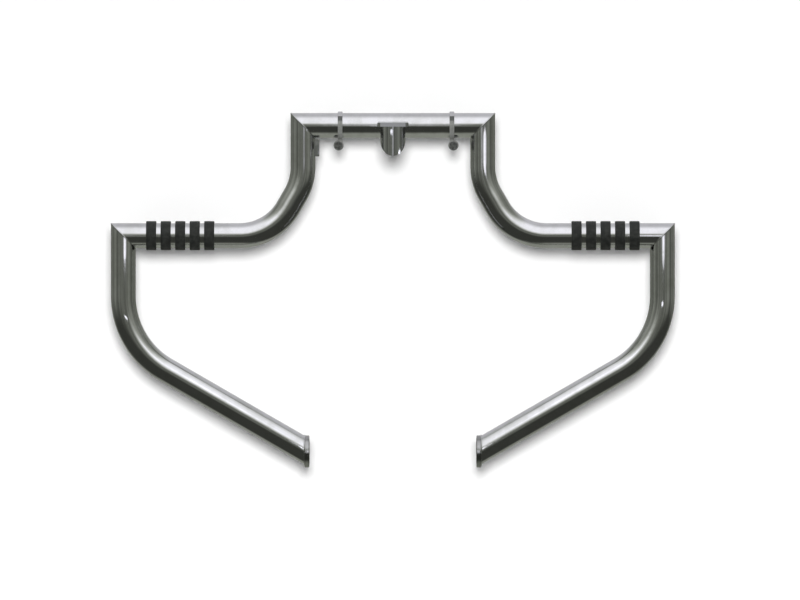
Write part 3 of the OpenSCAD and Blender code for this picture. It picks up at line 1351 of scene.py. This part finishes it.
@dataclass(frozen=True)
class Strap:
    """A clamp's band: round the bar and down into two ears with round eyes, at x = 0.

    A row of its profile is the share of its half width, how many edges that is set in, and the
    share of the crown that is reached there, from its rim to near its middle.
    """

    plan: Plan = PLAN
    width: float = 6.0
    thick: float = 2.0
    gap: float = 3.0
    bend_r: float = 3.0
    eye_r: float = 6.5
    eye_tip: float = 0.02
    offset: float = 2.0
    bolt_drop: float = 9.6
    edge: float = 0.45
    crown: float = 0.88
    ear_crown: float = 0.4
    profile: tuple[Point, ...] = (
        (1.0, 0.0, 0.0), (1.0, 0.0, 0.55), (1.0, 0.35, 0.8), (1.0, 1.3, 0.93), (0.45, 0.0, 0.98),
    )
    round_steps: int = 60
    bend_steps: int = 12
    ear_steps: int = 28

    @property
    def bolt_z(self) -> float:
        """Height of the bolt's axis."""
        return -self.plan.tube_r - self.bolt_drop

    @property
    def ear_y(self) -> float:
        """Distance of an ear's outer face from the strap's middle plane."""
        return self.gap / 2 + self.thick

    def stretch(self) -> list[Spot]:
        """Draws the strap's inside, from one ear round the bar to the other.

        Returns:
            The points of its path.
        """
        r, inside = self.plan.tube_r, self.bend_r + self.thick
        big = r + self.thick + self.bend_r
        fy = self.ear_y + self.bend_r
        fz = -sqrt(big * big - fy * fy)
        lean = atan2(-fz, fy)
        low = self.bolt_z - self.eye_r
        half = []
        for i in range(self.round_steps + 1):
            a = pi / 2 - (pi / 2 + lean) * i / self.round_steps
            half.append(Spot(r * cos(a), r * sin(a), cos(a), sin(a)))
        for i in range(1, self.bend_steps + 1):
            a = pi - lean + lean * i / self.bend_steps
            half.append(Spot(fy + inside * cos(a), fz + inside * sin(a), -cos(a), -sin(a)))
        for i in range(1, self.ear_steps + 1):
            z = fz + (low - fz) * i / self.ear_steps
            half.append(Spot(self.gap / 2, z, 1.0, 0.0, ear=True))
        return [Spot(-s.y, s.z, -s.out_y, s.out_z, s.ear) for s in half[::-1]] + half[1:]

    def ear_span(self, z: float) -> Flat:
        """Returns the strap's two sides at a height, where an ear widens to its round eye.

        Args:
            z: The height.

        Returns:
            The sides' places along the bar.
        """
        half, up = self.width / 2, z - self.bolt_z
        if up >= self.eye_r:
            return -half, half
        chord = sqrt(max(0.0, self.eye_r ** 2 - up * up))
        left, right = self.offset - chord, self.offset + chord
        if up < 0:
            return left, right
        share = 1 - up / self.eye_r
        flare_left = -half + (self.offset - self.eye_r + half) * share
        flare_right = half + (self.offset + self.eye_r - half) * share
        return min(flare_left, left), max(flare_right, right)

    def section(self, spot: Spot) -> list[Point]:
        """Returns the strap's section at a point of its path: flat inside, crowned outside.

        Args:
            spot: The point.

        Returns:
            The section's points, from side to side.
        """
        left, right = self.ear_span(max(spot.z, self.bolt_z - self.eye_r + self.eye_tip))
        mid, half = (left + right) / 2, (right - left) / 2
        crown, edge = self.ear_crown if spot.ear else self.crown, min(self.edge, half * 0.5)
        flank = []
        for share, edges, rise in self.profile:
            lift = self.thick * (1 - (1 - rise) * crown) if rise else 0.0
            flank.append((share * half - edges * edge, lift))
        across = [(-out, lift) for out, lift in flank] + [(0.0, self.thick)] + flank[::-1]
        return [
            (mid + out, spot.y + spot.out_y * lift, spot.z + spot.out_z * lift)
            for out, lift in across
        ]

    def shell(self) -> Shell:
        """Returns the band, without its bolt holes."""
        shell = Shell()
        return shell.capped(shell.stack(self.section(spot) for spot in self.stretch()))


@dataclass(frozen=True)
class Fasteners:
    """A clamp's bolt, washer and nut, each along its own Z axis."""

    bolt_d: float = 6.0
    bolt_len: float = 16.0
    bolt_tip: float = 0.6
    thread_play: float = 0.05
    thread_pitch: float = 1.0
    thread_depth: float = 0.55
    thread_half: float = 0.42
    thread_end: float = 1.5
    thread_steps: int = 8
    thread_round: int = 48
    flats: float = 10.0
    rim_share: float = 0.97
    chamfer_deg: float = 30.0
    head_h: float = 4.0
    nut_h: float = 5.0
    nut_sink: float = 0.4
    washer_d: float = 11.0
    washer_t: float = 1.6
    washer_edge: float = 0.25
    washer_bore_edge: float = 0.1
    washer_round: int = 72
    play: float = 0.3

    def hexagon(self, height: float, both: bool) -> list[list[Flat]]:
        """Returns the rows of a hexagonal block from z = 0, chamfered at its corners.

        Args:
            height: Height of the block.
            both: It is chamfered below too, not only above.

        Returns:
            The rows, each with a radius and a height at every step.
        """
        flat, sixth = self.flats / 2, pi / 3
        rim, slope = flat * self.rim_share, tan(radians(self.chamfer_deg))
        angles = [2 * pi * k / ROUND for k in range(ROUND)]
        reach = [flat / cos((a + sixth / 2) % sixth - sixth / 2) for a in angles]
        top = [[(r, height - (r - rim) * slope) for r in reach], [(rim, height)] * ROUND]
        if not both:
            return [[(r, 0.0) for r in reach], *top]
        return [[(rim, 0.0)] * ROUND, [(r, (r - rim) * slope) for r in reach], *top]

    def bolt(self) -> Shell:
        """Makes the bolt along +Z from its tip, with a rolled thread and a hexagonal head.

        Returns:
            The bolt.
        """
        r, pitch = self.bolt_d / 2 - self.thread_play, self.thread_pitch
        steps = int(self.bolt_len / (pitch / self.thread_steps))
        rows = []
        for i in range(steps + 1):
            z = self.bolt_len * i / steps
            tapered = r - max(0.0, self.bolt_tip - z)
            depth = min(1.0, max(0.0, self.bolt_len - self.thread_end - z)) * self.thread_depth
            row = []
            for k in range(self.thread_round):
                phase = (z / pitch - k / self.thread_round) % 1.0
                groove = max(0.0, 1 - abs(phase - 0.5) / self.thread_half)
                row.append((min(tapered, r - depth * pitch * groove), z))
            rows.append(row)
        head = spun(self.hexagon(self.head_h, both=False))
        return spun(rows).joined(head.moved(z=self.bolt_len))

    def nut(self) -> Shell:
        """Makes the nut from z = 0, with a countersunk hole.

        Returns:
            The nut.
        """
        bore, h, sink = self.bolt_d / 2, self.nut_h, self.nut_sink
        mouth, *hole = [
            [spot] * ROUND
            for spot in ((bore + sink, 0.0), (bore + sink, h), (bore, h - sink), (bore, sink))
        ]
        return spun([mouth, *self.hexagon(h, both=True), *hole], ring=True)

    def washer(self) -> Shell:
        """Makes the washer from z = 0, with eased edges.

        Returns:
            The washer.
        """
        inner, outer, t = self.bolt_d / 2 + self.play, self.washer_d / 2, self.washer_t
        e, c = self.washer_edge, self.washer_bore_edge
        low = [(inner, c), (inner + c, 0.0), (outer - e, 0.0), (outer, e)]
        profile = low + [(r, t - z) for r, z in low[::-1]]
        return spun([[spot] * self.washer_round for spot in profile], ring=True)


@dataclass
class Clamps:
    """The two strap clamps, each with its bolt, washer and nut."""

    strap_finish: bpy.types.Material
    bolt_finish: bpy.types.Material
    strap: Strap = Strap()
    fasteners: Fasteners = Fasteners()
    left_x: float = 67.5
    right_x: float = 75.5
    hole_half: float = 9.0
    hole_round: int = 64
    strap_sharp_deg: float = 30.0
    bolt_sharp_deg: float = 25.0

    def set_in(self, shell: Shell, y: float, facing: int = 1) -> Shell:
        """Turns a piece from its own Z axis to the bolt's axis.

        Args:
            shell: The piece.
            y: The place of its z = 0.
            facing: 1 if its Z axis points to the rear, -1 if to the front.

        Returns:
            The piece, for a clamp at x = 0.
        """
        across, up = self.strap.offset, self.strap.bolt_z
        return shell.placed(lambda p: (across + p[0], y + facing * p[2], up - facing * p[1]))

    def build(self) -> None:
        """Makes both clamps."""
        small, ear, far = self.fasteners, self.strap.ear_y, self.hole_half
        strap = self.strap.shell()
        hole = self.set_in(rod(small.bolt_d / 2 + small.play, -far, far, self.hole_round), 0.0)
        parts = {
            "clamp_bolt": self.set_in(small.bolt(), small.bolt_len - ear, -1),
            "clamp_washer": self.set_in(small.washer(), ear),
            "clamp_nut": self.set_in(small.nut(), ear + small.washer_t),
        }
        for side, x in ((Side.LEFT, self.left_x), (Side.RIGHT, self.right_x)):
            band = strap.moved(x=x).on(side)
            obj = band.made(f"{side.word}_strap_band", self.strap_sharp_deg)
            cut(obj, hole.moved(x=x).on(side))
            smoothed(obj, self.strap_sharp_deg)
            dressed(obj, self.strap_finish, [f"{side.word}_strap"])
            for word, part in parts.items():
                piece = part.moved(x=x).on(side)
                obj = piece.made(f"{side.word}_{word}_m6", self.bolt_sharp_deg)
                dressed(obj, self.bolt_finish, [f"{side.word}_{word}"])


# Studio


@dataclass(frozen=True)
class Strip:
    """A lamp that only the metal shows, as a stripe or a glint; lengths in millimetres."""

    name: str
    x: float
    distance: float
    low: float
    high: float
    width: float
    level: float
    shape: Opening = Opening.ELLIPSE
    aim_deg: float = 0.0
    spread_deg: float = 180.0
    tint: Point = (0.93, 0.92, 1.0)

    @property
    def focus(self) -> float:
        """How many times brighter the lamp's spread makes it along its axis.

        Returns:
            The factor; 1 for a lamp that isn't narrowed.
        """
        if self.spread_deg >= 180:
            return 1.0
        half = radians(self.spread_deg / 2)
        return tan(half) / (tan(half) - half)

    def build(self) -> None:
        """Hangs the lamp, facing away from the camera and turned to its aim."""
        data = bpy.data.lights.new(self.name, "AREA")
        data.shape = self.shape.name
        data.size, data.size_y = self.width * MM, (self.high - self.low) * MM
        area = data.size * data.size_y * self.shape.value
        data.energy = self.level * pi * area / self.focus
        data.spread = radians(self.spread_deg)
        data.color = self.tint
        lamp = linked(self.name, data)
        lamp.location = (self.x * MM, -self.distance * MM, (self.low + self.high) / 2 * MM)
        lamp.rotation_euler = (pi / 2, 0.0, -radians(self.aim_deg))
        lamp.visible_camera = lamp.visible_diffuse = False


@dataclass(frozen=True)
class Surround:
    """The world: a studio that only metal reflects, a weak even fill, and white for the camera.

    The studio has a soft box overhead, a dim streaked horizon and a floor that is dark in front.
    Its ranges are on a sphere of radius 1, on which the camera is at y = -1. A range over which
    something changes is followed by its levels at both ends.
    """

    fill: float = 0.165
    box_rise: Flat = (0.04, 0.46)
    box_aside: Flat = (0.36, 0.76)
    box_aside_levels: Flat = (1.0, 0.12)
    box_back: Flat = (-0.55, 0.25)
    box_back_levels: Flat = (1.2, 0.62)
    horizon: float = 0.15
    streaks: float = 1.7
    streak_flat: float = 0.35
    streak_range: Flat = (0.34, 0.66)
    streak_levels: Flat = (0.5, 1.6)
    floor_drop: Flat = (-0.30, 0.0)
    floor_slant: float = 1.6
    floor_back: Flat = (-0.55, -0.05)
    floor_back_levels: Flat = (0.045, 0.30)
    box_tint: Point = (0.97, 0.965, 1.0)
    low_tint: Point = (0.96, 1.0, 0.86)
    white: Point = (1.0, 1.0, 1.0)

    def studio(self, n: Shading) -> bpy.types.Node:
        """Adds the studio's nodes.

        Args:
            n: The world's tree.

        Returns:
            The node with the studio's colour.
        """
        look = n.add("ShaderNodeTexCoord").outputs["Generated"]
        x, y, z = n.add("ShaderNodeSeparateXYZ", {0: look}).outputs
        aside = n.math("ABSOLUTE", x)
        turn = n.math("ARCTAN2", x, n.math("MULTIPLY", y, -1.0))
        spot = {0: turn, 1: n.math("MULTIPLY", z, self.streak_flat)}
        clouds = n.noise(n.add("ShaderNodeCombineXYZ", spot), self.streaks, detail=3.0, rough=0.6)
        streak = n.ramp(clouds, *self.streak_range, *self.streak_levels)
        horizon = n.math("MULTIPLY", streak, self.horizon)
        narrow = n.ramp(aside, *self.box_aside, *self.box_aside_levels)
        up = n.math("MULTIPLY", n.ramp(z, *self.box_rise), narrow)
        box = n.ramp(y, *self.box_back, *self.box_back_levels)
        slant = n.math("SUBTRACT", y, n.math("MULTIPLY", aside, self.floor_slant))
        floor = n.ramp(slant, *self.floor_back, *self.floor_back_levels)
        down = n.ramp(z, *self.floor_drop, 1.0, 0.0)
        above = n.math("GREATER_THAN", z, 0.0)
        level = n.blend(n.blend(horizon, floor, down), n.blend(horizon, box, up), above)
        tint = n.mix(up, self.low_tint, self.box_tint)
        return n.add("ShaderNodeVectorMath", {0: tint, "Scale": level}, operation="SCALE")

    def build(self) -> None:
        """Makes the world."""
        world = bpy.data.worlds.new("studio")
        bpy.context.scene.world = world
        world.use_nodes = True
        n = Shading(world.node_tree)
        ray = n.add("ShaderNodeLightPath").outputs
        strength = n.ramp(ray["Is Glossy Ray"], 0.0, 1.0, self.fill, 1.0)
        light = n.add("ShaderNodeBackground", {"Color": self.studio(n), "Strength": strength})
        white = n.add("ShaderNodeBackground", {"Color": self.white})
        both = n.add("ShaderNodeMixShader", {0: ray["Is Camera Ray"], 1: light, 2: white})
        n.add("ShaderNodeOutputWorld", {"Surface": both})


@dataclass
class Studio:
    """A pale floor and backdrop, a large soft key light, the metal's lamps and the camera.

    Lengths are in millimetres, apart from the key light's size and distance and the camera's
    near and far limits, which are in metres. The key light's power is in watts.
    """

    view_x: float = 9.1
    view_z: float = -223.4
    distance: float = 15000.0
    frame_w: float = 1024.0
    sensor: float = 36.0
    near: float = 0.1
    far: float = 60.0
    paper: Point = (0.93, 0.93, 0.93)
    wall_y: float = 58.0
    wall_reach: float = 1600.0
    wall_top: float = 900.0
    floor_z: float = -640.0
    floor_reach: float = 5000.0
    key_w: float = 1280.0
    key_size: float = 3.6
    key_distance: float = 12.0
    key_lift_deg: float = 10.3
    surround: Surround = Surround()
    strips: tuple[Strip, ...] = (
        Strip("crossbar_strip", 0, 700, -55, 250, 170, 0.28, Opening.RECTANGLE),
        Strip("tongue_spot", -14.7, 91, -10.5, -4.5, 32, 1.6, aim_deg=14, spread_deg=44),
        Strip("tongue_glint", 66, 46, -38, -31, 44, 2.8, aim_deg=-58, spread_deg=40),
        Strip("left_outer_strip", -280, 250, -174, -112, 170, 1.7, aim_deg=-15, spread_deg=32),
        Strip("right_inner_strip", 150, 109, -57, -3, 74, 1.5, aim_deg=-18, spread_deg=40),
        Strip("left_top_glint", -84, 46, -5.5, 0.5, 24, 1.7, aim_deg=-40, spread_deg=40),
        Strip("left_knee_glint", -341.7, 56, -247.5, -243.5, 20, 1.6, spread_deg=90),
        Strip("right_knee_glint", 346.5, 56, -232, -225, 14, 1.4, spread_deg=90),
        Strip("right_outer_strip", 378, 250, -178, -116, 150, 1.5, aim_deg=-8, spread_deg=34),
        Strip("plate_strip", 0, 300, -462, -378, 214, 3.2, Opening.RECTANGLE, spread_deg=60),
    )

    def papered(self, name: str, one_sided: bool) -> bpy.types.Material:
        """Returns the stage's pale paper, which metal looks through to the studio beyond it.

        Args:
            name: The material's name.
            one_sided: It is clear from behind.

        Returns:
            The material.
        """
        n = Skin(name)
        clear = n.add("ShaderNodeLightPath").outputs["Is Glossy Ray"]
        if one_sided:
            behind = n.add("ShaderNodeNewGeometry").outputs["Backfacing"]
            clear = n.math("MAXIMUM", clear, behind)
        white = n.add("ShaderNodeBsdfDiffuse", {"Color": self.paper})
        none = n.add("ShaderNodeBsdfTransparent")
        return n.shown(n.add("ShaderNodeMixShader", {0: clear, 1: white, 2: none}))

    def sheet(self, name: str, corners: Sequence[Point], one_sided: bool) -> None:
        """Makes a flat stage sheet.

        Args:
            name: Its name.
            corners: Its four corners.
            one_sided: Its paper is clear from behind.
        """
        obj = linked(name, meshed(name, corners, faces=[(0, 1, 2, 3)]))
        obj.data.materials.append(self.papered(f"{name}_paper", one_sided))

    def key(self) -> None:
        """Hangs the key light, in front of the bar and above it, which casts the drop shadow."""
        data = bpy.data.lights.new("front_softbox", "AREA")
        data.shape, data.size, data.energy = "DISK", self.key_size, self.key_w
        lamp = linked("front_softbox", data)
        lift = radians(self.key_lift_deg)
        aim = Vector((self.view_x * MM, 0.0, self.view_z * MM))
        lamp.location = aim + self.key_distance * Vector((0.0, -cos(lift), sin(lift)))
        lamp.rotation_euler = (aim - lamp.location).to_track_quat("-Z", "Y").to_euler()
        lamp.visible_glossy = lamp.visible_camera = False

    def camera(self) -> None:
        """Sets the camera square in front of the bar, as the photograph was taken."""
        data = bpy.data.cameras.new("camera")
        data.sensor_width = self.sensor
        data.lens = self.sensor * self.distance / self.frame_w
        data.clip_start, data.clip_end = self.near, self.far
        cam = linked("camera", data)
        cam.location = (self.view_x * MM, -self.distance * MM, self.view_z * MM)
        cam.rotation_euler = (pi / 2, 0.0, 0.0)
        bpy.context.scene.camera = cam

    def build(self) -> None:
        """Sets up the whole studio."""
        w, y, low, high = self.wall_reach, self.wall_y, self.floor_z, self.wall_top
        f = self.floor_reach
        self.sheet("backdrop", [(-w, y, low), (w, y, low), (w, y, high), (-w, y, high)], True)
        self.sheet("floor", [(-f, -f, low), (f, -f, low), (f, f, low), (-f, f, low)], False)
        self.surround.build()
        self.key()
        for strip in self.strips:
            strip.build()
        self.camera()
        bpy.context.scene.view_settings.view_transform = "Standard"


def main() -> None:
    logging.basicConfig(level=logging.INFO, format="%(message)s")
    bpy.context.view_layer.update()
    chrome = Chrome("chrome_tube").build()
    seam = Chrome("chrome_seam", gloss=(0.08, 0.16), wave=5.0, wave_depth=0.1).build()
    plate = Chrome("chrome_plate", (0.42, 0.425, 0.42), (0.36, 0.365, 0.36), (0.16, 0.26), 12.0)
    cast = Chrome("chrome_bracket", tone=(0.64, 0.65, 0.68), gloss=(0.07, 0.14), wave=7.0).build()
    # The strap band gets a painted highlight over its top, with a darker band just below it.
    strap = Plated(
        "plated_strap", (0.30, 0.305, 0.29), (0.225, 0.23, 0.22), (0.42, 0.54), 0.35,
        bright=(11.0, 13.0),
    )
    Tubework(chrome, seam).build()
    EndPlates(plate.build()).build()
    Bracket(cast, seam).build()
    Tab(cast).build()
    FootRings(Rubber().build()).build()
    Clamps(strap.build(), Plated().build()).build()
    Studio().build()


if __name__ == "__main__":
    main()
